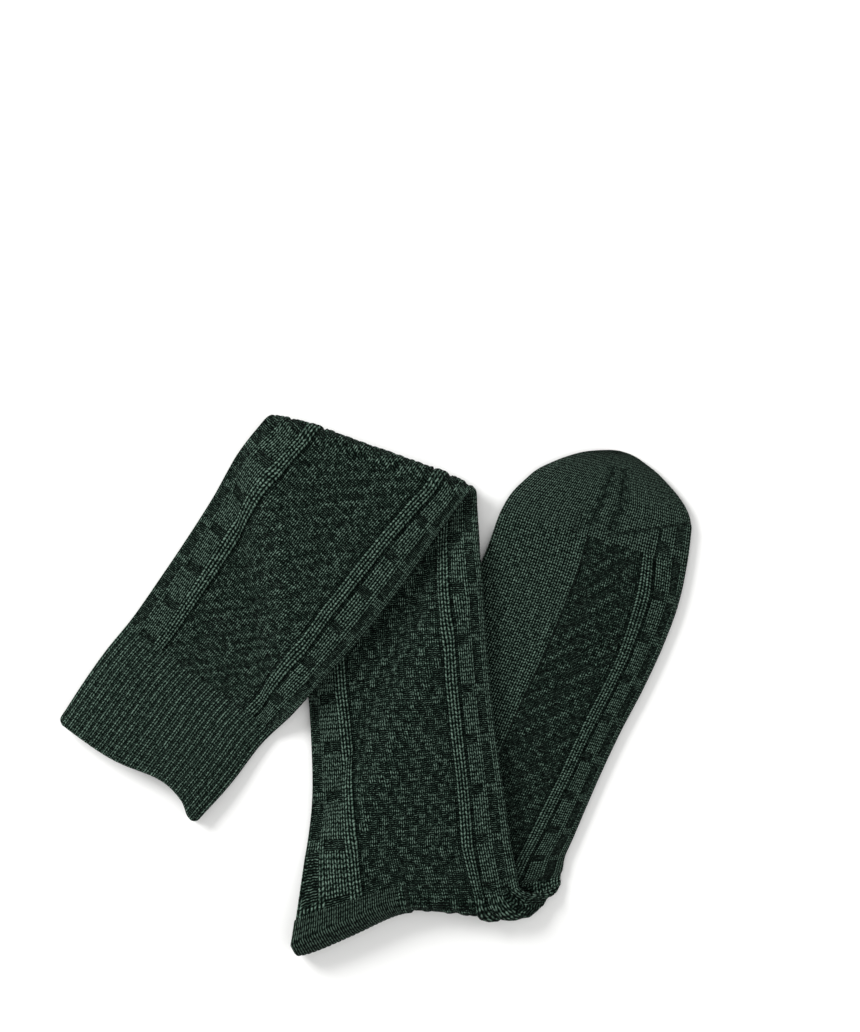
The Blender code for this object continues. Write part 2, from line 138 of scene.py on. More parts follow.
class Paint:
    """The node tree of one material."""

    def __init__(self, name):
        self.material = bpy.data.materials.new(name)
        self.material.use_nodes = True
        self.tree = self.material.node_tree
        self.shader = self.tree.nodes["Principled BSDF"]

    def add(self, kind, settings=None, values=None, output=0):
        """Adds a node, sets it, fills its sockets with numbers or wires, and gives one output."""
        node = self.tree.nodes.new(kind)
        for name, value in (settings or {}).items():
            if name == "stops":
                while len(node.color_ramp.elements) < len(value):
                    node.color_ramp.elements.new(0.5)
                for element, (place, color) in zip(node.color_ramp.elements, value):
                    element.position = place
                    element.color = (*color, 1.0)
            else:
                setattr(node, name, value)
        for name, value in (values or {}).items():
            self.fill(node.inputs[name], value)
        return Wire(self, node.outputs[output])

    def fill(self, socket, value):
        """Puts a number, a colour or a wire into a socket."""
        if isinstance(value, Wire):
            self.tree.links.new(value.socket, socket)
        else:
            socket.default_value = value

    def finish(self, **values):
        """Fills the shader's own sockets, named with underscores for spaces."""
        for name, value in values.items():
            self.fill(self.shader.inputs[name.replace("_", " ")], value)
        return self.material


# %% [markdown]
# The floor is a plain pale table, far larger than the view. A little noise in its roughness keeps
# it from looking like empty space in the views from the side. Three large soft lights stand at the
# left, at the right and above, as in a small studio. The left one is the strongest, so each raised
# rib of the knitting has a soft dark side towards the right.

# %% Make the floor and the lights
FLOOR_SIZE = 6.0
FLOOR_COLOR = (0.86, 0.86, 0.85)
LIGHTS = (
    ("name", "place", "size", "power"),
    ("key", (-0.90, 0.70, 0.80), 0.6, 20.0),
    ("fill", (1.1, -0.2, 1.0), 1.2, 5.0),
    ("top", (0.0, -0.3, 1.9), 1.6, 9.0),
)
WORLD_STRENGTH = 0.55


def make_floor():
    """A wide pale plane under the sock."""
    shape = bmesh.new()
    bmesh.ops.create_grid(shape, x_segments=1, y_segments=1, size=FLOOR_SIZE / 2)
    data = bpy.data.meshes.new("floor")
    shape.to_mesh(data)
    shape.free()
    floor = bpy.data.objects.new("floor", data)
    bpy.context.collection.objects.link(floor)
    paint = Paint("floor_paint")
    where = paint.add("ShaderNodeTexCoord", output="Object")
    grain = paint.add("ShaderNodeTexNoise", {}, {"Vector": where, "Scale": 60.0}, "Fac")
    data.materials.append(
        paint.finish(Base_Color=(*FLOOR_COLOR, 1.0), Roughness=grain * 0.1 + 0.75)
    )


def make_lights():
    """Large square lights, each turned to the sock."""
    for name, place, size, power in LIGHTS[1:]:
        light = bpy.data.lights.new(name, "AREA")
        light.size = size
        light.energy = power
        thing = bpy.data.objects.new(name, light)
        thing.location = place
        turn = np.arctan2(math.hypot(place[0], place[1]), place[2])
        thing.rotation_euler = (turn, 0.0, math.atan2(place[0], -place[1]))
        bpy.context.collection.objects.link(thing)
    world = bpy.context.scene.world or bpy.data.worlds.new("studio")
    bpy.context.scene.world = world
    world.use_nodes = True
    world.node_tree.nodes["Background"].inputs["Color"].default_value = (1.0, 1.0, 1.0, 1.0)
    world.node_tree.nodes["Background"].inputs["Strength"].default_value = WORLD_STRENGTH


make_floor()
make_lights()
bpy.context.scene.view_settings.view_transform = "Standard"
print("floor and", len(LIGHTS) - 1, "lights")

# %% [markdown]
# ## The tube that the sock is
#
# A sock is one tube. Pressed flat it has two faces, and its shape is told by three things: where
# the middle of the tube runs, how wide it is there, and how thick. The sizes and the short tables
# below say that, in the plan of the lying sock. They are the same as the plain model's, so the
# knitting lies on it, but for two: the toe has more rows here, for a rounder outline, and the
# gathers, where the knitting rolls under the leg, have a table of their own.

# %% Sizes of the sock
LEG_LENGTH = 0.395
LEG_WIDTH = 0.094
CUFF_DEPTH = 0.053
RIM_DIP = 0.0060
DIP_PLACE = 0.40
DIP_SPREAD = 0.45
FOOT_REACH = 0.2258
FOOT_WIDTH = 0.087
TOE_LENGTH = 0.0398
WALL = 0.0022
HOLLOW = 0.0024
MOUTH = 0.0068
RIB_HEIGHT = 0.0009
LEG_LEAN = math.radians(5.2)
FOLD_HEIGHT = 0.2033
FOLD_SLANT = math.radians(25.0)
CUFF_SLANT = math.radians(9.0)
FOOT_TURN = math.radians(22.4)
DRAPE_RUN = 0.021
FLATTENED = 0.0004
LAYER_GAP = 0.0006
SECTION_POWER = 4.0
HALF = WALL + HOLLOW / 2
MOUTH_HALF = WALL + MOUTH / 2
LAYER_PITCH = 2 * HALF + 2 * RIB_HEIGHT + LAYER_GAP
ROLL = LAYER_PITCH / 2
PLACE_STEP = 0.005
STATION_STEP = 0.0004

print("layers of the sock lie", round(LAYER_PITCH * 1000, 1), "mm apart")

# %% Tables of the sock's outline
LEG_EDGES = (
    ("up", "left", "right"),
    (0.05, -0.495, 0.515),
    (0.14, -0.412, 0.498),
    (0.21, -0.390, 0.485),
    (0.28, -0.385, 0.482),
    (0.38, -0.400, 0.492),
    (0.47, -0.425, 0.500),
    (0.54, -0.435, 0.535),
    (0.60, -0.425, 0.580),
    (0.65, -0.402, 0.610),
    (0.70, -0.345, 0.630),
    (0.76, -0.290, 0.642),
    (0.81, -0.250, 0.655),
    (0.86, -0.213, 0.650),
    (0.91, -0.190, 0.677),
    (1.00, -0.118, 0.700),
)
TURN_LINE = (
    ("place", "upper_across", "lower_across", "up"),
    (0.00, -0.568, -0.568, -0.088),
    (0.20, -0.315, -0.290, 0.005),
    (0.42, -0.050, -0.010, 0.083),
    (0.60, 0.138, 0.210, 0.070),
    (0.75, 0.300, 0.405, 0.054),
    (0.88, 0.425, 0.580, 0.052),
    (1.00, 0.535, 0.735, 0.090),
)
FOOT_ROWS = (
    ("left_along", "left_across", "right_along", "right_across"),
    (0.075, -0.374, 0.242, 0.682),
    (0.194, -0.322, 0.290, 0.693),
    (0.310, -0.293, 0.360, 0.708),
    (0.440, -0.264, 0.462, 0.732),
    (0.560, -0.241, 0.570, 0.765),
    (0.688, -0.213, 0.688, 0.812),
    (0.806, -0.190, 0.806, 0.845),
    (0.914, -0.172, 0.914, 0.855),
    (1.000, -0.161, 1.000, 0.838),
)
TOE_ROWS = (
    ("left_along", "left_across", "right_along", "right_across", "thick"),
    (0.260, -0.126, 0.330, 0.812, 1.00),
    (0.400, -0.090, 0.460, 0.797, 1.00),
    (0.535, -0.050, 0.600, 0.755, 1.00),
    (0.675, 0.017, 0.730, 0.685, 0.98),
    (0.793, 0.087, 0.835, 0.607, 0.93),
    (0.890, 0.160, 0.915, 0.535, 0.80),
    (0.945, 0.222, 0.958, 0.478, 0.62),
    (0.981, 0.277, 0.986, 0.435, 0.42),
    (0.996, 0.318, 0.997, 0.395, 0.25),
    (1.000, 0.345, 1.000, 0.370, 0.12),
)
GATHER_ROWS = (
    ("place", "out"),
    (0.000, 0.0000),
    (0.700, 0.0002),
    (0.742, 0.0010),
    (0.790, 0.0031),
    (0.822, 0.0026),
    (0.880, 0.0040),
    (0.920, 0.0041),
    (0.955, 0.0018),
    (0.985, 0.0004),
    (1.000, 0.0000),
)
CUFF_ROWS = (
    ("down", "thick", "dip"),
    (0.00, 1.00, 1.00),
    (0.08, 0.98, 0.90),
    (0.30, 0.85, 0.60),
    (0.60, 0.45, 0.25),
    (1.00, 0.00, 0.00),
)


def column(table, name):
    """One named column of a table, as numbers."""
    place = table[0].index(name)
    return np.array([row[place] for row in table[1:]], dtype=float)


def curve(xs, ys, at):
    """A smooth curve through the points of a table, straight past its ends."""
    slopes = np.gradient(ys, xs, axis=0)
    at = np.asarray(at, dtype=float)
    inside = np.clip(at, xs[0], xs[-1])
    low = np.clip(np.searchsorted(xs, inside, side="right") - 1, 0, len(xs) - 2)
    step = xs[low + 1] - xs[low]
    t = (inside - xs[low]) / step
    outside = at - inside
    past = outside * (at < xs[0]), outside * (at > xs[-1])
    if ys.ndim > 1:
        spread = (slice(None),) + (None,) * (ys.ndim - 1)
        step, t, past = step[spread], t[spread], (past[0][spread], past[1][spread])
    start = ys[low] * (1 + 2 * t) * (1 - t) ** 2 + slopes[low] * step * t * (1 - t) ** 2
    end = ys[low + 1] * t**2 * (3 - 2 * t) - slopes[low + 1] * step * t**2 * (1 - t)
    return start + end + past[0] * slopes[0] + past[1] * slopes[-1]


def smooth(share):
    """Eases from 0 to 1."""
    share = np.clip(share, 0.0, 1.0)
    return share * share * (3 - 2 * share)


print("outline tables:", len(LEG_EDGES) - 1, "rows of the leg,", len(TOE_ROWS) - 1, "of the toe")

# %% [markdown]
# The leg is worked out unfolded and then folded over a slanting line. Near the line the sheet runs
# round a small roll, and past it the leg lies on what is below: on the foot, on the lower leg, or
# beside them on the table, with an easy slope in between.


# %% Fold the leg over
def leg_edge(side, up):
    """How far across the unfolded leg its left or right edge is, at a height."""
    return curve(column(LEG_EDGES, "up") * LEG_LENGTH, column(LEG_EDGES, side) * LEG_WIDTH, up)


def foot_axes(points):
    """Points of the leg's plan, measured along and across the foot."""
    across, up = points[..., 0], points[..., 1]
    along = across * math.sin(FOOT_TURN) + up * math.cos(FOOT_TURN)
    return along, across * math.cos(FOOT_TURN) - up * math.sin(FOOT_TURN)


def foot_plan(along, across):
    """The reverse: points of the foot in the leg's plan."""
    x = along * math.sin(FOOT_TURN) + across * math.cos(FOOT_TURN)
    return np.stack([x, along * math.cos(FOOT_TURN) - across * math.sin(FOOT_TURN)], axis=-1)


def over_foot(points):
    """1 where a layer lies on the foot, easing to 0 beside it."""
    along, across = foot_axes(points)
    corner = np.array([column(TURN_LINE, "lower_across")[0], column(TURN_LINE, "up")[0]])
    corner_along, corner_across = foot_axes(corner * LEG_WIDTH)
    shin = FOOT_REACH - TOE_LENGTH
    rows = np.append(corner_along, column(FOOT_ROWS, "left_along") * shin)
    edge = np.append(corner_across, column(FOOT_ROWS, "left_across") * FOOT_WIDTH)
    return smooth((across - np.interp(along, rows, edge) + DRAPE_RUN) / DRAPE_RUN)


def over_leg(points):
    """1 where a layer lies on the lower leg, easing to 0 beside it."""
    return smooth((points[..., 0] - leg_edge("left", points[..., 1]) + DRAPE_RUN) / DRAPE_RUN)


def lay_leg(flat, half):
    """Points of the unfolded leg where they lie, folded over the slanting line."""
    sine, cosine = math.sin(FOLD_SLANT), math.cos(FOLD_SLANT)
    across, up = flat[..., 0], flat[..., 1] - FOLD_HEIGHT
    past = across * sine + up * cosine
    along = across * cosine - up * sine
    angle = np.clip(past / ROLL, 0.0, math.pi)
    reach = np.where(past < 0, past, ROLL * np.sin(angle) - np.maximum(past - math.pi * ROLL, 0))
    plan = np.stack(
        [along * cosine + reach * sine, FOLD_HEIGHT - along * sine + reach * cosine], axis=-1
    )
    rise = ROLL * (1 - np.cos(angle)) * over_leg(plan)
    height = half - FLATTENED + LAYER_PITCH * over_foot(plan) + rise
    return np.concatenate([plan, height[..., None]], axis=-1)


print("the fold lifts the leg by", round(2000 * ROLL, 1), "mm")

# %% [markdown]
# Next come the courses, the rows of stitches that run round the sock. Each is known by the line of
# the tube's middle that it lies round, from the left edge of the flattened tube, x = -1, to its
# right edge, x = 1. Key rows are gathered from the rim to the tip of the toe, and a smooth curve
# through them gives any course in between.

# %% Lines of the tube's middle, from the rim to the toe's tip
LINE = np.linspace(-1.0, 1.0, 121)
KEY_STEP = 0.002
LOWER_LEG_START = 0.072
LEG_END_BLEND = 0.65
BLEND_ROWS = 14
TURN_ROWS = 14
HEEL_LAST_ROW = 3
HEEL_PLACE = 0.42


def leg_line(up):
    """One row of the leg, crossing its middle at a height, and half of its thickness."""
    top = LEG_LENGTH - CUFF_DEPTH / math.cos(CUFF_SLANT)
    slant = CUFF_SLANT * float(smooth((up - FOLD_HEIGHT) / (top - FOLD_HEIGHT)))
    down = (LEG_LENGTH - up) * math.cos(CUFF_SLANT) / CUFF_DEPTH
    thick = float(np.interp(down, column(CUFF_ROWS, "down"), column(CUFF_ROWS, "thick")))
    dip = RIM_DIP * float(np.interp(down, column(CUFF_ROWS, "down"), column(CUFF_ROWS, "dip")))
    half = HALF + thick * (MOUTH_HALF - HALF)
    ends = []
    for side in ("left", "right"):
        height = up
        for _ in range(8):
            height = up - math.tan(slant) * float(leg_edge(side, height))
        ends.append(np.array([float(leg_edge(side, height)), height]))
    flat = ends[0] + (ends[1] - ends[0]) * ((LINE + 1) / 2)[:, None]
    flat[:, 1] -= dip * np.exp(-(((LINE - DIP_PLACE) / DIP_SPREAD) ** 2))
    return lay_leg(flat, half), half


def turn_line(angle):
    """One row where the knitting rolls under, from the leg above, 0, to the foot below, pi."""
    places = column(TURN_LINE, "place")

    def line(place):
        upper = curve(places, column(TURN_LINE, "upper_across"), place)
        lower = curve(places, column(TURN_LINE, "lower_across"), place)
        across = upper + (lower - upper) * (1 - math.cos(angle)) / 2
        up = curve(places, column(TURN_LINE, "up"), place)
        return LEG_WIDTH * np.stack([across, up], axis=-1)

    place = (LINE + 1) / 2
    axis = line(place)
    run = line(place + PLACE_STEP) - line(place - PLACE_STEP)
    run /= np.linalg.norm(run, axis=-1, keepdims=True)
    outward = np.stack([run[:, 1], -run[:, 0]], axis=-1)
    height = HALF - FLATTENED + LAYER_PITCH * over_foot(axis) * (1 + math.cos(angle)) / 2
    gathers = curve(column(GATHER_ROWS, "place"), column(GATHER_ROWS, "out"), place)
    axis = axis + outward * ((ROLL + gathers) * math.sin(angle))[:, None]
    return np.concatenate([axis, height[:, None]], axis=-1), HALF


def foot_line(left_along, left_across, right_along, right_across, half=HALF):
    """One straight row of the foot or the toe."""
    ends = foot_plan(np.array([left_along, right_along]), np.array([left_across, right_across]))
    plan = ends[0] + (ends[1] - ends[0]) * ((LINE + 1) / 2)[:, None]
    return np.concatenate([plan, np.full((len(LINE), 1), half - FLATTENED)], axis=-1), half


def gather_keys():
    """All key rows, and the number of the key row where each part of the sock begins."""
    keys, marks = [], {}
    cuff_end = LEG_LENGTH - CUFF_DEPTH / math.cos(CUFF_SLANT)
    low = LOWER_LEG_START * LEG_LENGTH
    for part, start, end in (
        ("cuff", LEG_LENGTH, cuff_end),
        ("upper_leg", cuff_end, FOLD_HEIGHT - LEG_WIDTH / 2),
        ("lower_leg", FOLD_HEIGHT - LEG_WIDTH / 2, low),
    ):
        marks[part] = len(keys)
        count = int(round((start - end) / KEY_STEP))
        keys += [leg_line(start + (end - start) * step / count) for step in range(count)]
    last, first = leg_line(low), turn_line(0.0)
    for step in range(BLEND_ROWS):
        if "turn" not in marks and step / BLEND_ROWS >= LEG_END_BLEND:
            marks["turn"] = len(keys)
        keys.append((last[0] + (first[0] - last[0]) * step / BLEND_ROWS, HALF))
    keys += [turn_line(math.pi * step / TURN_ROWS) for step in range(TURN_ROWS + 1)]
    shin = FOOT_REACH - TOE_LENGTH
    across = [1.0, FOOT_WIDTH / shin, 1.0, FOOT_WIDTH / shin]
    rows = [foot_line(*(np.array(row) * across * shin)) for row in FOOT_ROWS[1:]]
    keys.append(((keys[-1][0] + rows[0][0]) / 2, HALF))
    marks["heel_end"] = len(keys) + HEEL_LAST_ROW - 2
    marks["toe"] = len(keys) + len(rows) - 1
    keys += rows
    for left_along, left_across, right_along, right_across, thick in TOE_ROWS[1:]:
        keys.append(
            foot_line(
                shin + left_along * TOE_LENGTH,
                left_across * FOOT_WIDTH,
                shin + right_along * TOE_LENGTH,
                right_across * FOOT_WIDTH,
                thick * HALF,
            )
        )
    marks["tip"] = len(keys) - 1
    return keys, marks


keys, marks = gather_keys()
KEY_LINES = np.array([key[0] for key in keys])
KEY_HALVES = np.array([key[1] for key in keys])
steps = np.linalg.norm(np.diff(KEY_LINES, axis=0), axis=-1).mean(axis=-1)
STATIONS = np.concatenate([[0.0], np.cumsum(steps)])
MARKS = {name: float(STATIONS[number]) for name, number in marks.items()}
print("length along the sock", {name: round(place, 4) for name, place in MARKS.items()})

# %% [markdown]
# A course isn't a flat line but a flattened ring round its line: a broad oval with rounded ends,
# where the knitting turns over at the edges of the sock. A share of the way round, from 0 at the
# left edge to 0.5 at the right edge and on to 1, says where a stitch sits on the ring.

# %% Put points on the tube's skins
ROUND = np.linspace(0.0, 2 * math.pi, 721)
OVAL_SHAPE = (
    -np.sign(np.cos(ROUND)) * np.abs(np.cos(ROUND)) ** (2 / SECTION_POWER),
    np.sin(ROUND),
)


def oval(shares, half_width, half_height):
    """Places across and above the middle at shares of the way round, and the way out there."""
    x, y = OVAL_SHAPE[0] * half_width, OVAL_SHAPE[1] * half_height
    length = np.concatenate([[0.0], np.cumsum(np.hypot(np.diff(x), np.diff(y)))])
    at = shares * length[-1]
    x_at, y_at = np.interp(at, length, x), np.interp(at, length, y)
    out_x = np.sign(x_at) * np.abs(x_at / half_width) ** (SECTION_POWER - 1) / half_width
    out_y = y_at / half_height**2
    size = np.maximum(np.hypot(out_x, out_y), 1e-9)
    return x_at, y_at, out_x / size, out_y / size


def tube_points(stations, shares, relief, inset):
    """Points of one skin, by station and share, raised by a relief and set in by a wall."""
    lines = curve(STATIONS, KEY_LINES, stations)
    ahead = curve(STATIONS, KEY_LINES, np.minimum(stations + STATION_STEP, STATIONS[-1]))
    behind = curve(STATIONS, KEY_LINES, np.maximum(stations - STATION_STEP, 0.0))
    across = np.gradient(lines, axis=1)
    widths = np.linalg.norm(lines[:, -1] - lines[:, 0], axis=-1)
    across /= np.maximum(np.linalg.norm(across, axis=-1, keepdims=True), 1e-12)
    out = np.cross(ahead - behind, across)
    out /= np.maximum(np.linalg.norm(out, axis=-1, keepdims=True), 1e-12)
    halves = np.interp(stations, STATIONS, KEY_HALVES)
    points = np.empty((len(stations), len(shares), 3))
    for row, (width, half) in enumerate(zip(widths, halves)):
        narrow = min(inset, width / 4, half / 2)
        x, y, out_x, out_y = oval(shares, width / 2 - narrow, half - narrow)
        at = x / (width / 2)
        place = [np.interp(at, LINE, lines[row, :, axis]) for axis in range(3)]
        side = [np.interp(at, LINE, across[row, :, axis]) for axis in range(3)]
        up = [np.interp(at, LINE, out[row, :, axis]) for axis in range(3)]
        raised = relief[row]
        for axis in range(3):
            points[row, :, axis] = (
                place[axis] + up[axis] * (y + out_y * raised) + side[axis] * out_x * raised
            )
    return points


print("width at the rim", round(float(np.linalg.norm(KEY_LINES[0, -1] - KEY_LINES[0, 0])), 4))

# %% [markdown]
# ## The knitting chart
#
# A knitter works from a chart that says, for each stitch, whether it is knit or purl. A knit
# stitch shows as a small V that stands out, a purl stitch as low bars that sink in. The chart here
# is a few rules on the number of the wale, the column of stitches, and of the course. The cuff is
# in single ribs. The leg and the instep have two ribs of plump chain with baskets of knit boxes
# and purl blocks beside them, and between the ribs a broad panel of slanting lines of bumps.
# Heel, sole and toe are all knit, but for the seam and the narrowed stitches on the toe.
#
# Real knitting doesn't keep to even columns: the ribs drift a little where the sock is pulled.
# One table says where the wales lie across the face at a few places along the sock, and another
# how far along the sock each course is.

# %% Where the wales and the courses lie
WALE_NUMBERS = (0, 4, 8, 10, 34, 36, 40, 44)
WALE_LINES = (
    ("station", "wale 4", "wale 8", "wale 10", "wale 34", "wale 36", "wale 40"),
    (0.0519, 0.093, 0.183, 0.245, 0.789, 0.854, 0.939),
    (0.0816, 0.086, 0.168, 0.238, 0.778, 0.842, 0.936),
    (0.1113, 0.078, 0.155, 0.230, 0.753, 0.818, 0.932),
    (0.1557, 0.090, 0.174, 0.236, 0.766, 0.831, 0.932),
    (0.1854, 0.092, 0.186, 0.248, 0.792, 0.857, 0.947),
    (0.2226, 0.086, 0.175, 0.240, 0.773, 0.846, 0.932),
    (0.2597, 0.075, 0.160, 0.230, 0.769, 0.828, 0.919),
    (0.2893, 0.070, 0.151, 0.222, 0.750, 0.823, 0.916),
    (0.3338, 0.081, 0.174, 0.241, 0.756, 0.820, 0.913),
    (0.3635, 0.116, 0.214, 0.269, 0.756, 0.817, 0.910),
    (0.3857, 0.140, 0.233, 0.290, 0.761, 0.812, 0.904),
    (0.4514, 0.100, 0.190, 0.250, 0.776, 0.839, 0.932),
    (0.4811, 0.090, 0.180, 0.240, 0.797, 0.857, 0.936),
    (0.5404, 0.090, 0.180, 0.240, 0.801, 0.859, 0.936),
    (0.5701, 0.090, 0.180, 0.240, 0.776, 0.846, 0.936),
    (0.5879, 0.090, 0.180, 0.240, 0.756, 0.815, 0.916),
)
COURSE_HEIGHTS = (
    ("station", "height"),
    (0.0000, 0.00148),
    (0.0509, 0.00150),
    (0.0700, 0.00162),
    (0.1800, 0.00172),
    (0.2300, 0.00188),
    (0.3800, 0.00188),
    (0.4300, 0.00145),
    (0.6400, 0.00138),
)
SOLE_EDGE = 0.466
SOLE_WALES = 18
TOE_WALES = 39
CUFF_WALES = 50
COURSE_TABLE = np.linspace(0.0, 0.66, 3301)
COURSE_NUMBERS = np.concatenate(
    [
        [0.0],
        np.cumsum(
            np.diff(COURSE_TABLE)
            / np.interp(
                COURSE_TABLE[1:], column(COURSE_HEIGHTS, "station"), column(COURSE_HEIGHTS, "height")
            )
        ),
    ]
)


def courses_at(stations):
    """How many courses lie between the rim and each station."""
    return np.interp(stations, COURSE_TABLE, COURSE_NUMBERS)


def wales_at(stations, place):
    """Number of the wale at each place of a face, from 0 at its left to 44 at its right."""
    known = column(WALE_LINES, "station")
    numbers = WALE_NUMBERS[1:-1]
    lines = [np.interp(stations, known, column(WALE_LINES, f"wale {n}")) for n in numbers]
    lines = np.stack([np.zeros(len(stations)), *lines, np.ones(len(stations))], axis=-1)
    wales = np.stack([np.interp(place, line, WALE_NUMBERS) for line in lines])
    return np.minimum(wales, WALE_NUMBERS[-1] - 0.001)


print("courses", round(float(courses_at(MARKS["tip"]))), "from rim to toe")

# %% [markdown]
# How far each kind of stitch stands out or sinks in is a guess from its light and shade, and all of
# it is under a millimetre. The panels are given by the wales that they go from and to, and the
# baskets and the slanting lines by their repeats, which change along the sock.

# %% Heights, panels and repeats
KNIT_STAND = 0.00030
PURL_SINK = -0.00034
RIB_STAND = 0.00080
CHANNEL_SINK = -0.00045
BOX_STAND = 0.00030
DOT_STAND = 0.00072
GROUND_SINK = -0.00060
PANELS = (
    ("from", "to", "kind"),
    (0.0, 0.7, "chain"),
    (0.7, 3.0, "ladder"),
    (3.0, 4.0, "chain"),
    (4.0, 8.0, "box"),
    (8.0, 10.0, "rib"),
    (10.0, 10.6, "channel"),
    (10.6, 33.4, "lattice"),
    (33.4, 34.0, "channel"),
    (34.0, 36.0, "rib"),
    (36.0, 36.6, "channel"),
    (36.6, 39.0, "box"),
    (39.0, 40.0, "chain"),
    (40.0, 42.0, "ladder"),
    (42.0, 44.0, "chain"),
)
BASKETS = (
    ("until", "left_start", "left_period", "right_start", "right_period"),
    (0.215, 0.0519, 0.0188, 0.0653, 0.0217),
    (0.420, 0.2260, 0.0222, 0.2262, 0.0225),
    (0.700, 0.4707, 0.0202, 0.4707, 0.0202),
)
BLOCK_SHARE = 0.22
LATTICES = (
    ("until", "wales", "courses", "bump"),
    (0.215, 3.5, 4.9, 1.25),
    (0.420, 4.6, 6.7, 2.40),
    (0.700, 5.2, 6.8, 1.60),
)
BETWEEN_SHARE = 0.70
CLUMP = 0.35
BUMP_WALES = 1.05
BUMP_COURSES = 0.68
BUMP_CORNER = 2.4
LINE_BUMP, LINE_STRAY = 0.55, 0.45
BETWEEN_BUMP, BETWEEN_STRAY = 0.35, 0.5
BAR_STAND = 0.00016
CHAIN_PLUMP = 1.5
LADDER_SINK = 1.8
BLOCK_SINK = 2.2
BLOCK_STRAY = 0.03
BOX_KNIT = 0.9
BOX_CORNER = 4
PANEL_CORNER = 2.5
RIB_LEVEL, RIB_GROOVES = 0.65, 0.35
CHANNEL_PURL = 0.6
DOT_EDGE = 1.8


def row_of(table, station):
    """The first row of a table whose stretch holds a station."""
    return next(row for row in table[1:] if station <= row[0])


def stray(stitch, row, salt):
    """An even number from 0 to 1 for each stitch, always the same."""
    mixed = np.sin(stitch * 12.9898 + row * 78.233 + salt) * 43758.5453
    return mixed - np.floor(mixed)


def bump(share, power=0.7):
    """0 at both edges of a stitch and 1 in its middle."""
    return np.sin(math.pi * np.clip(share, 0.0, 1.0)) ** power


def dome(away):
    """1 in the middle of a form and 0 at its edge, with a round top."""
    return np.clip(1 - away, 0, 1) ** 0.5


print(len(PANELS) - 1, "panels across a face of the leg")

# %% [markdown]
# The slanting lines are found without drawing them. For each point, the lines near it are numbered,
# and so are the bumps along each line. The nearest bump's middle is put on a whole wale, because a
# stitch can't lie between two columns, and the point's distance from that middle gives the height.
# Lower bumps fill some of the room between the lines. Which of them are there, and how high each
# bump stands, comes from stray numbers.

# %% Slanting lines of bumps
def basket_phase(stations, side):
    """How far along its repeat of the basket each station is, with the purl block first."""
    phase = np.empty(len(stations))
    for place, station in enumerate(stations):
        row = dict(zip(BASKETS[0], row_of(BASKETS, station)))
        turns = (station - row[side + "_start"]) / row[side + "_period"] + BLOCK_SHARE / 2
        phase[place] = turns % 1.0
    return phase[:, None]


def clumps(wale, course):
    """Slow crossed waves, from -1 to 1, which set patches of bumps higher or lower."""
    return np.sin(wale * 0.83 + 2.1 * np.sin(course * 0.31)) * np.sin(course * 0.47 + wale * 0.21)


def lattice(wale, course, stations, face):
    """How high the bumps of the slanting lines are at each point, from 0 to 1."""
    rows = [row_of(LATTICES, station) for station in stations]
    wales, courses, long = (np.array([row[k] for row in rows])[:, None] for k in (1, 2, 3))
    nearest = np.round(wale / wales + face * course / courses)
    height = np.zeros(wale.shape)
    for between in (-1.0, -0.5, 0.0, 0.5, 1.0):
        line = nearest + between
        turns = course / long + stray(line, 0.0, 1.0)
        number = np.floor(turns)
        middle = course + (number + 0.5 - turns) * long
        at = np.floor(wales * (line - face * middle / courses)) + 0.5
        chance = stray(line, number, 2.0)
        full = LINE_BUMP + LINE_STRAY * chance
        if between % 1.0:
            lower = BETWEEN_BUMP + BETWEEN_STRAY * chance
            full = np.where(chance < BETWEEN_SHARE, lower, 0.0)
        near = np.abs((wale - at) / BUMP_WALES) ** BUMP_CORNER
        near += np.abs((course - middle) / (BUMP_COURSES * long)) ** BUMP_CORNER
        height = np.maximum(height, full * dome(near))
    return height * (1 - CLUMP * (0.5 - 0.5 * clumps(wale, course)))


print("slanting lines are", [row[1] for row in LATTICES[1:]], "wales apart")


# %% [markdown]
# The leg's chart goes through the panels from left to right and gives each its own relief: plump
# chain, a ladder of purl bars with knit blocks in it, boxes of knit with purl blocks in between,
# broad ribs with a channel beside them, and the slanting lines.

# %% Chart of the leg
def leg_stitches(wale, course, stations, place, face):
    """How far the leg's chart stands out, and its purl share."""
    knit = KNIT_STAND * bump(wale % 1.0)
    sunk = PURL_SINK + BAR_STAND * bump(course * 2 % 1.0)
    dots = lattice(wale, course, stations, face)
    stand, purl = np.zeros(wale.shape), np.zeros(wale.shape)
    for start, end, kind in PANELS[1:]:
        here = (wale >= start) & (wale < end)
        phase = basket_phase(stations, "left" if start < WALE_NUMBERS[-1] / 2 else "right")
        block = phase + stray(np.floor(wale), 0.0, 3.0) * BLOCK_STRAY < BLOCK_SHARE
        across = dome(np.abs((2 * wale - start - end) / (end - start)) ** PANEL_CORNER)
        if kind == "chain":
            level, purled = knit * CHAIN_PLUMP, 0.0
        elif kind == "ladder":
            purled = np.where(block, 0.0, 1.0)
            level = np.where(block, knit, sunk * LADDER_SINK)
        elif kind == "box":
            in_box = np.clip((phase - BLOCK_SHARE) / (1 - BLOCK_SHARE), 0, 1)
            top = dome(np.abs(2 * in_box - 1) ** BOX_CORNER) * across
            purled = np.where(block, 1.0, 0.0)
            level = np.where(block, sunk * BLOCK_SINK, BOX_STAND * top + knit * BOX_KNIT)
        elif kind == "rib":
            grooves = RIB_LEVEL + RIB_GROOVES * bump(wale % 1.0, 0.8)
            level, purled = RIB_STAND * across * grooves, 0.0
        elif kind == "channel":
            level, purled = CHANNEL_SINK, CHANNEL_PURL
        else:
            purled = 1 - smooth(dots * DOT_EDGE)
            level = (GROUND_SINK + sunk - PURL_SINK) * (1 - dots) + DOT_STAND * dots
        stand = np.where(here, level, stand)
        purl = np.where(here, purled, purl)
    return stand, purl


print("kinds of panel:", sorted({kind for _, _, kind in PANELS[1:]}))

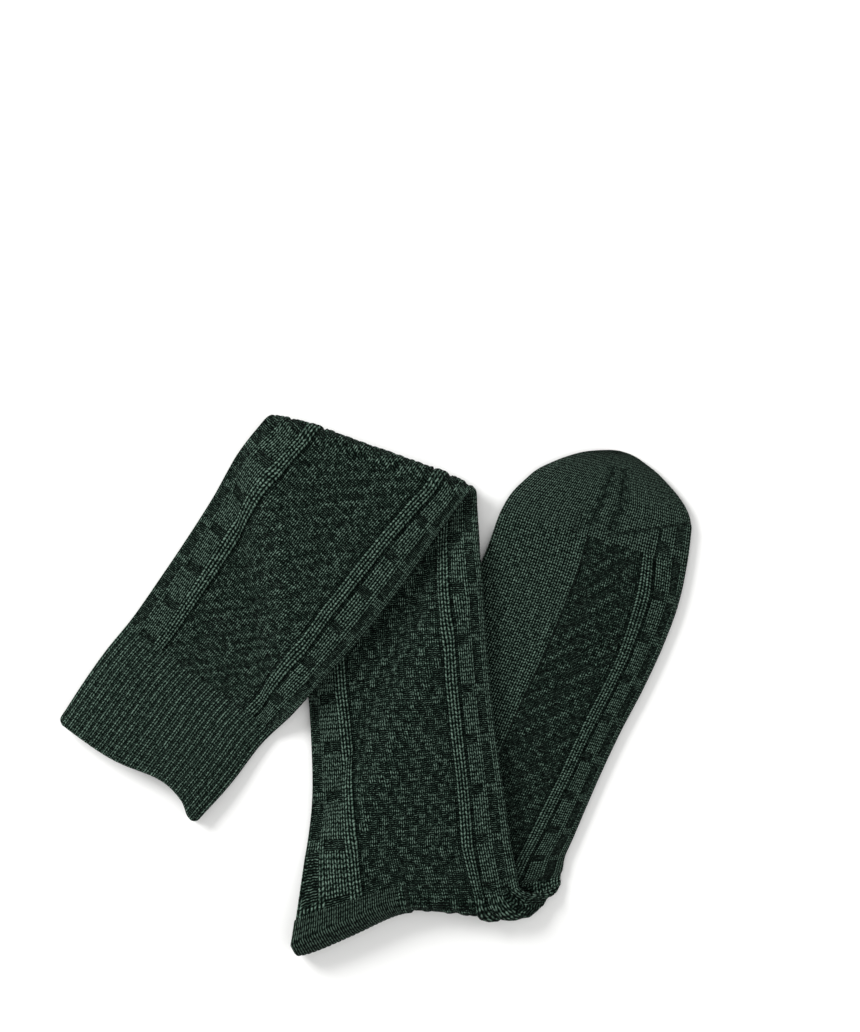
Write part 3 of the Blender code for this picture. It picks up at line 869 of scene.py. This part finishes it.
# %% [markdown]
# The cuff, the sole and the toe have charts of their own. Over the instep the toe is joined by a
# seam, a thin groove. Where the toe is narrowed, a row of single stitches stands out, with a small
# dark hole at each side.

# %% Charts of the cuff, the foot and the toe
SEAM = ((0.56, 0.5905), (0.99, 0.6060))
SEAM_DEPTH = 0.0007
SEAM_SPREAD = 0.0006
LAST_COLUMNS = 0.82
TOE_MARKS = (0.592, 0.624)
MARKS_PLACE = 0.51
MARKS_PITCH = 0.0029
MARK_STEP = 0.7
MARK_WALES = 1.1
MARK_STAND = 0.0005
HOLE_OFF = 2.0
HOLE_DEPTH = 0.0006
SOLE_RIDGE = 0.0008
RIM_ROLL = 0.0004
CUFF_KNIT = 5 / 7
CUFF_RIB_STAND = 0.0005
CUFF_GAP_SINK = -0.0001
CUFF_GAP_PURL = 0.7
RIM_COURSES = 1.6


def plain_stitches(wale, course, stations, place, face):
    """All knit: low columns of chain."""
    return KNIT_STAND * bump(wale % 1.0), np.zeros(wale.shape)


def cuff_stitches(wale, course, stations, place, face):
    """Single ribs, one wale knit and one narrow purl, and a rolled rim."""
    knit = np.floor(wale) % 2 == 0
    rim = RIM_ROLL * bump(course / RIM_COURSES) * (course < RIM_COURSES)
    rim = rim * (1 - (2 * place - 1) ** 8)
    level = np.where(knit, CUFF_RIB_STAND * bump(wale % 1.0, 0.5), CUFF_GAP_SINK)
    return level + rim, np.where(knit, 0.0, CUFF_GAP_PURL)


def foot_stitches(wale, course, stations, place, face):
    """Plain on the sole, the leg's chart on the instep."""
    patterned = leg_stitches(np.maximum(wale, 11.0), course, stations, place, face)
    plain = plain_stitches(wale, course, stations, place, face)
    edge = SOLE_RIDGE * np.exp(-(((wale + 0.8) / 1.0) ** 2))
    sole = wale < 0
    return np.where(sole, plain[0] + edge, patterned[0]), np.where(sole, 0.0, patterned[1])


def toe_stitches(wale, course, stations, place, face):
    """Plain, with the seam over the instep, the row of narrowed stitches and the last columns."""
    stand, purl = plain_stitches(wale, course, stations, place, face)
    along = stations[:, None]
    seam = np.interp(place, *np.transpose(SEAM))
    last = (place > LAST_COLUMNS) & (along < seam - SEAM_SPREAD)
    columns = leg_stitches(wales_at(stations, place), course, stations, place, face)
    stand, purl = np.where(last, columns[0], stand), np.where(last, columns[1], purl)
    groove = np.exp(-(((along - seam) / SEAM_SPREAD) ** 2)) * (place > SEAM[0][0]) * (face < 0)
    turns = (along - TOE_MARKS[0]) / MARKS_PITCH
    number = np.floor(turns)
    off = np.abs((place - MARKS_PLACE) * TOE_WALES - MARK_STEP * (number % 2)) / MARK_WALES
    within = (along > TOE_MARKS[0]) & (along < TOE_MARKS[1]) & (face < 0)
    mark = np.clip(1 - off**2 - (2 * (turns - number) - 1) ** 2, 0, 1) ** 0.5 * within
    hole = np.exp(-((off - HOLE_OFF) ** 2) * 2) * within
    stand = stand - SEAM_DEPTH * groove + MARK_STAND * mark - HOLE_DEPTH * hole
    return stand, np.maximum(purl, np.maximum(groove, 0.7 * hole))


def even_wales(count):
    """Wales of even width, so many to a face."""
    return lambda stations, place: np.tile(place * count, (len(stations), 1))


def cuff_wales(stations, place):
    """Pairs of a wide knit wale and a narrow purl wale."""
    ribs = place * CUFF_WALES / 2
    part = ribs % 1.0
    wide = np.where(part < CUFF_KNIT, part / CUFF_KNIT, 1 + (part - CUFF_KNIT) / (1 - CUFF_KNIT))
    return np.tile(2 * np.floor(ribs) + wide, (len(stations), 1))


def foot_wales(stations, place):
    """Even wales below 0 on the sole, and the leg's on the instep."""
    sole = np.tile((place / SOLE_EDGE - 1) * SOLE_WALES, (len(stations), 1))
    return np.where(place < SOLE_EDGE, sole, wales_at(stations, place))


print("wales on a face: cuff", CUFF_WALES, "leg", WALE_NUMBERS[-1], "toe", TOE_WALES)

# %% [markdown]
# Larger shapes lie under the stitches: the dent beside the toe, and the creases between the
# gathers where the knitting turns under.

# %% Dents and creases
DENTS = (
    ("station", "place", "length", "spread", "depth"),
    (0.5900, 0.405, 0.0085, 0.022, 0.0022),
    (0.5960, 0.450, 0.0040, 0.040, 0.0006),
    (0.3900, 0.822, 0.0120, 0.012, 0.0018),
    (0.3910, 0.955, 0.0130, 0.014, 0.0024),
    (0.3900, 0.880, 0.0090, 0.007, 0.0006),
    (0.3900, 0.760, 0.0100, 0.010, 0.0006),
)


def cloth_relief(stations, shares):
    """Height of the cloth's own unevenness, by station and share."""
    place = np.where(shares <= 0.5, shares, 1 - shares) * 2
    height = np.zeros((len(stations), len(shares)))
    for station, middle, length, spread, depth in DENTS[1:]:
        near = ((stations[:, None] - station) / length) ** 2 + ((place - middle) / spread) ** 2
        height -= depth * np.exp(-near)
    return height


print(len(DENTS) - 1, "dents")

# %% [markdown]
# ## Knit a piece
#
# Each piece starts as a flat grid with one column for each step round the tube and one row for
# each step along it, outside first and then back along the inside. The grid is then laid on the
# tube, its edges are merged, and the piece is a closed wall of knitting. The leg and the foot get
# four columns to a stitch on the face that is seen, so that every purl block and rib is real
# relief, and about two on the face that lies down. The toe gets more, and the cuff the same number
# on both. The relief is calmed at the fold, whose edge is smooth, and the rim's corners are round.

# %% Lay a grid of stitches on the tube
VISUAL_WALL = 0.0012
LINING_STEP = 0.006
FOLD_CALM = 0.85
FOLD_REACH = 0.007
RIM_ROWS = 10
RIM_WIDTH = 0.082
RIM_CORNER = 0.0048
RIM_EASE = 0.0140
RIM_LOBE = 0.0024
RIM_LOBE_PLACE = 0.94
RIM_LOBE_SPREAD = 0.06


def face_columns(seen_first, seen_second, wales):
    """Shares round the tube, so many steps to a stitch on its first and second face."""
    first = np.linspace(0.0, 0.5, int(wales * seen_first) + 1)[:-1]
    second = np.linspace(0.5, 1.0, int(wales * seen_second) + 1)
    return np.concatenate([first, second])


def round_rim(points, stations, place):
    """Rounds the corners of the rim and draws out its right lobe, by moving its first rows."""
    inside = KEY_LINES[RIM_ROWS].mean(axis=0) - KEY_LINES[0].mean(axis=0)
    inside /= np.linalg.norm(inside)
    from_edge = np.minimum(place, 1 - place) * RIM_WIDTH
    into = np.clip(RIM_CORNER - from_edge, 0.0, RIM_CORNER)
    drawn = RIM_CORNER - np.sqrt(RIM_CORNER**2 - into**2)
    drawn -= RIM_LOBE * np.exp(-(((place - RIM_LOBE_PLACE) / RIM_LOBE_SPREAD) ** 2))
    share = np.clip(1 - stations / RIM_EASE, 0.0, 1.0)
    return points + (share[:, None] * drawn)[:, :, None] * inside


def knit_tube(name, start, end, shares, chart, wale_map, steps):
    """One piece of the tube between two stations, as a closed wall of knitting."""
    rows = max(int(round((courses_at(end) - courses_at(start)) * steps)), 2)
    outer = np.linspace(start, end, rows + 1)
    lining = np.linspace(end, start, max(int((end - start) / LINING_STEP), 2) + 1)
    place = np.where(shares <= 0.5, shares, 1 - shares) * 2
    face = np.where(shares <= 0.5, 1.0, -1.0)
    wales = wale_map(outer, place)
    courses = np.broadcast_to(courses_at(outer)[:, None] + 1e-6, wales.shape)
    stand, purl = chart(wales, courses, outer, place, face)
    calm = 1 - FOLD_CALM * np.exp(-(((outer - MARKS["lower_leg"]) / FOLD_REACH) ** 2))
    relief = stand * calm[:, None] + cloth_relief(outer, shares)
    outside = tube_points(outer, shares, relief, 0.0)
    inside = tube_points(lining, shares, np.zeros((len(lining), len(shares))), VISUAL_WALL)
    outside, inside = round_rim(outside, outer, place), round_rim(inside, lining, place)
    points = np.concatenate([outside, inside, outside[:1]])
    stitches = np.concatenate([wales, wale_map(lining, place), wales[:1]])
    flat = np.zeros((len(lining), len(shares)))
    purl = np.concatenate([purl, flat, purl[:1]])
    lift = np.concatenate([stand, flat, stand[:1]])
    courses = courses_at(np.concatenate([outer, lining, outer[:1]]))
    return weave(name, points, stitches, courses, purl, lift, (rows, len(points) - 2))


print("rim's corners are rounded by", round(RIM_CORNER * 1000, 1), "mm")

# %% [markdown]
# The operator makes the flat grid, and its vertices are then moved to the tube's points. Each
# corner keeps the numbers of its wale and course as a UV map, and each vertex its share of purl
# and its height, so that the wool can be drawn from them. The whole tube is laid on the plain
# model by matching the middles of their two boxes.

# %% Make a mesh of the grid and put it on the plain model
MERGE = 1e-6


def weave(name, points, wales, courses, purl, lift, ends):
    """A grid laid on points, with its stitch numbers as a UV map and its chart as attributes."""
    rows, columns = points.shape[:2]
    shape = bmesh.new()
    bmesh.ops.create_grid(shape, x_segments=columns - 1, y_segments=rows - 1, size=1.0)
    data = bpy.data.meshes.new(name)
    shape.to_mesh(data)
    flat = np.empty(len(data.vertices) * 3, dtype=np.float32)
    data.vertices.foreach_get("co", flat)
    flat = flat.reshape(-1, 3)
    column_at = np.rint((flat[:, 0] + 1) / 2 * (columns - 1)).astype(int)
    row_at = np.rint((flat[:, 1] + 1) / 2 * (rows - 1)).astype(int)
    placed = place_on_floor(points[row_at, column_at])
    data.vertices.foreach_set("co", placed.astype(np.float32).ravel())
    corners = np.empty(len(data.loops), dtype=np.int32)
    data.loops.foreach_get("vertex_index", corners)
    layer = data.uv_layers.new(name="knit")
    at = row_at[corners], column_at[corners]
    stitch = np.stack([wales[at], courses[at[0]]], axis=-1)
    layer.data.foreach_set("uv", stitch.astype(np.float32).ravel())
    # The stitch height, kept as lift, gives the wool painted shade in sunk stitches and a painted
    # highlight on raised ones.
    for label, values in (("purl", purl), ("lift", lift / RIB_STAND)):
        attribute = data.attributes.new(label, "FLOAT", "POINT")
        attribute.data.foreach_set("value", values[row_at, column_at].astype(np.float32))
    first_corner = np.empty(len(data.polygons), dtype=np.int32)
    data.polygons.foreach_get("loop_start", first_corner)
    face_rows = row_at[corners[first_corner[:, None] + np.arange(4)]].min(axis=1)
    data.polygons.foreach_set("use_smooth", ~np.isin(face_rows, ends))
    shape.clear()
    shape.from_mesh(data)
    bmesh.ops.remove_doubles(shape, verts=shape.verts, dist=MERGE)
    loose = [edge for edge in shape.edges if not edge.link_faces]
    bmesh.ops.delete(shape, geom=loose, context="EDGES")
    bmesh.ops.recalc_face_normals(shape, faces=shape.faces)
    shape.to_mesh(data)
    triangles = sum(len(face.verts) - 2 for face in shape.faces)
    shape.free()
    piece = bpy.data.objects.new(name, data)
    bpy.context.collection.objects.link(piece)
    print(name, triangles, "triangles")
    return piece


def turn_to_floor(points):
    """Leans points of the leg's plan as the sock lies."""
    cosine, sine = math.cos(LEG_LEAN), math.sin(LEG_LEAN)
    across, up = points[..., 0], points[..., 1]
    return np.stack(
        [across * cosine - up * sine, across * sine + up * cosine, points[..., 2]], axis=-1
    )


SHARES = np.linspace(0.0, 1.0, 241)
ROUGH = turn_to_floor(tube_points(STATIONS, SHARES, np.zeros((len(STATIONS), len(SHARES))), 0.0))
ROUGH = ROUGH.reshape(-1, 3)
CAD_LOW, CAD_HIGH = np.array(cad_bounds[0]), np.array(cad_bounds[1])
SHIFT = (CAD_LOW + CAD_HIGH - ROUGH.min(axis=0) - ROUGH.max(axis=0)) / 2
SHIFT[2] = 0.0
print("moved onto the plain model by", np.round(SHIFT, 4))
print("box of the tube from", np.round(ROUGH.min(axis=0) + SHIFT, 4))
print("box of the tube to", np.round(ROUGH.max(axis=0) + SHIFT, 4))


def place_on_floor(points):
    """Points of the leg's plan where the plain model lies, none of them under the floor."""
    placed = turn_to_floor(points) + SHIFT
    placed[..., 2] = np.maximum(placed[..., 2], 0.0)
    return placed


# %% [markdown]
# ## The wool
#
# The yarn is a marl of dark and lighter green strands. The stitches are drawn from their own
# numbers: each knit stitch is two slanting strands that make a V, each purl stitch a bar. The
# strands' tops are painted lighter, a painted highlight, and the gaps between them nearly black,
# painted shade. Two noises, one about as big as a stitch and one about a third of that, give the
# flecks of the heather. A sunk stitch is painted darker by a share of its depth, as painted shade,
# and a raised one slightly lighter, as a painted highlight. Wool has hardly any gloss, so the
# shader has next to no highlight and only a trace of sheen.

# %% Paint the wool
WOOLS = (
    ("name", "deep", "middle", "light", "contrast", "rows"),
    ("cuff_wool", (0.0008, 0.0022, 0.0015), (0.0170, 0.0320, 0.0240), (0.120, 0.185, 0.145), 1.25, 0.40),
    ("leg_wool", (0.0006, 0.0016, 0.0011), (0.0140, 0.0275, 0.0200), (0.125, 0.190, 0.150), 1.30, 0.42),
    # The heel's copy of the same yarn has its middle and light stops at about half the leg's: painted
    # shade on the heel, where the knitting rolls under.
    ("heel_wool", (0.0006, 0.0016, 0.0011), (0.0068, 0.0135, 0.0098), (0.062, 0.098, 0.076), 1.60, 0.30),
    ("foot_wool", (0.0006, 0.0016, 0.0011), (0.0140, 0.0275, 0.0200), (0.120, 0.185, 0.145), 1.25, 0.50),
    ("toe_wool", (0.0008, 0.0022, 0.0015), (0.0150, 0.0280, 0.0212), (0.090, 0.138, 0.108), 1.50, 0.50),
)
V_STEEP = 1.2
STRAND_SUM = 1.17
KNIT_DARKER = 0.12
BAR_WAVE = 0.12
BAR_LEVEL = 0.95
YARN_FLECKS, PLY_FLECKS = 1.35, 1.3
LIFT_TOP, DEPTH_SHADE_STRENGTH = 0.3, 0.30
TONE_SPREAD = 1.1
TONE_DARKER = 0.015
MIDDLE_STOP = 0.45
BUMP_DEPTH = 0.0007
PLY_BUMP = 0.3


def make_wool(name, deep, middle, light, contrast, rows):
    """Marled wool, drawn stitch by stitch from the knit map."""
    paint = Paint(name)
    stitch = paint.add("ShaderNodeUVMap", {"uv_map": "knit"})
    wale = paint.add("ShaderNodeSeparateXYZ", {}, {"Vector": stitch}, "X")
    course = paint.add("ShaderNodeSeparateXYZ", {}, {"Vector": stitch}, "Y")
    purl = paint.add("ShaderNodeAttribute", {"attribute_name": "purl"}, output="Fac")
    lift = paint.add("ShaderNodeAttribute", {"attribute_name": "lift"}, output="Fac")
    side = abs(wale.maths("FRACT") - 0.5)
    chevron = ((course + side * V_STEEP).maths("FRACT") * math.pi).maths("SINE")
    strand = (side * (2 * math.pi)).maths("SINE")
    knitted = chevron * rows + strand * (STRAND_SUM - rows) - KNIT_DARKER
    wave = (wale * (2 * math.pi)).maths("SINE") * BAR_WAVE
    bar = ((course * 2 + wave).maths("FRACT") * math.pi).maths("SINE")
    height = knitted + purl * (bar * BAR_LEVEL - knitted)
    yarn = paint.add(
        "ShaderNodeTexNoise",
        {"noise_dimensions": "2D"},
        {"Vector": stitch, "Scale": 0.9, "Detail": 3.0, "Roughness": 0.7},
        "Fac",
    )
    ply = paint.add(
        "ShaderNodeTexNoise",
        {"noise_dimensions": "2D"},
        {"Vector": stitch, "Scale": 3.0, "Detail": 1.0},
        "Fac",
    )
    flecks = (yarn - 0.5) * YARN_FLECKS + (ply - 0.5) * PLY_FLECKS
    # Painted shade where a stitch sinks and a painted highlight where it stands out, from its height.
    depth_shade_and_highlight = lift.maths("MINIMUM", LIFT_TOP) * DEPTH_SHADE_STRENGTH
    # The tone paints each strand's top lighter and the gaps between strands darker from the stitch's
    # height: painted highlight and painted shade.
    tone = (height - 0.5) * contrast * TONE_SPREAD + depth_shade_and_highlight + flecks - TONE_DARKER
    stops = (0.0, deep), (MIDDLE_STOP, middle), (1.0, light)
    mixed = paint.add("ShaderNodeValToRGB", {"stops": stops}, {"Fac": tone})
    relief = height + ply * PLY_BUMP
    normal = paint.add(
        "ShaderNodeBump", {}, {"Strength": 1.0, "Distance": BUMP_DEPTH, "Height": relief}
    )
    return paint.finish(
        Base_Color=mixed,
        Roughness=yarn * 0.15 + 0.85,
        Normal=normal,
        Sheen_Weight=0.01,
        Sheen_Roughness=0.5,
        Specular_IOR_Level=0.02,
    )


WOOL = {row[0]: make_wool(*row) for row in WOOLS[1:]}
print("wools:", ", ".join(WOOL))

# %% [markdown]
# ## Knit the whole sock
#
# The leg is the longest piece, so it is knitted as two, which meet at the fold. The foot starts at
# the turn, and the heel is a cup of its own that lies over it.

# %% Cuff, leg, foot and toe
PIECES = (
    ("name", "node", "start", "end", "first", "second", "chart", "wales", "steps"),
    ("knit_cuff", "cuff", "cuff", "upper_leg", 3.5, 3.5, cuff_stitches, cuff_wales, 3),
    ("knit_upper_leg", "leg", "upper_leg", "lower_leg", 2, 4, leg_stitches, wales_at, 3),
    ("knit_lower_leg", "leg", "lower_leg", "turn", 4, 2, leg_stitches, wales_at, 4),
    ("knit_foot", "foot", "turn", "toe", 1.6, 4, foot_stitches, foot_wales, 2.6),
    ("knit_toe", "toe", "toe", "tip", 2, 6, toe_stitches, even_wales(TOE_WALES), 4),
)

for name, node, start, end, first, second, chart, wale_map, steps in PIECES[1:]:
    shares = face_columns(first, second, CUFF_WALES if node == "cuff" else WALE_NUMBERS[-1])
    piece = knit_tube(name, MARKS[start], MARKS[end], shares, chart, wale_map, steps)
    piece.data.materials.append(WOOL[f"{node}_wool"])
    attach(piece, "root")
    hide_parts(node)

# %% Heel
HEEL_COLUMNS = 188
HEEL_PROUD = 0.0006
HEEL_WALES = 56
HEEL_STEPS = 2.5
HEEL_WALL = 0.0004


def knit_heel():
    """The heel's cup, from the leg's end round the turn to the sole."""
    half = HEEL_PLACE / 2
    shares = np.linspace(-half, half, HEEL_COLUMNS + 1)
    courses = courses_at(MARKS["heel_end"]) - courses_at(MARKS["turn"])
    rows = int(round(courses * HEEL_STEPS))
    stations = np.linspace(MARKS["turn"], MARKS["heel_end"], rows + 1)
    wales = np.tile((shares + 1) * 2 * HEEL_WALES, (rows + 1, 1))
    stand, purl = plain_stitches(wales, wales, stations, shares, shares)
    raised = stand + HEEL_PROUD
    outside = tube_points(stations, shares % 1.0, raised, 0.0)
    inside = tube_points(stations[::-1], shares % 1.0, raised * 0, HEEL_WALL)
    return weave(
        "knit_heel",
        np.concatenate([outside, inside, outside[:1]]),
        np.concatenate([wales, wales, wales[:1]]),
        courses_at(np.concatenate([stations, stations[::-1], stations[:1]])),
        np.concatenate([purl, purl, purl[:1]]),
        np.concatenate([stand, stand * 0, stand[:1]]),
        (rows, 2 * rows + 1),
    )


heel = knit_heel()
heel.data.materials.append(WOOL["heel_wool"])
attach(heel, "root")
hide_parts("heel")
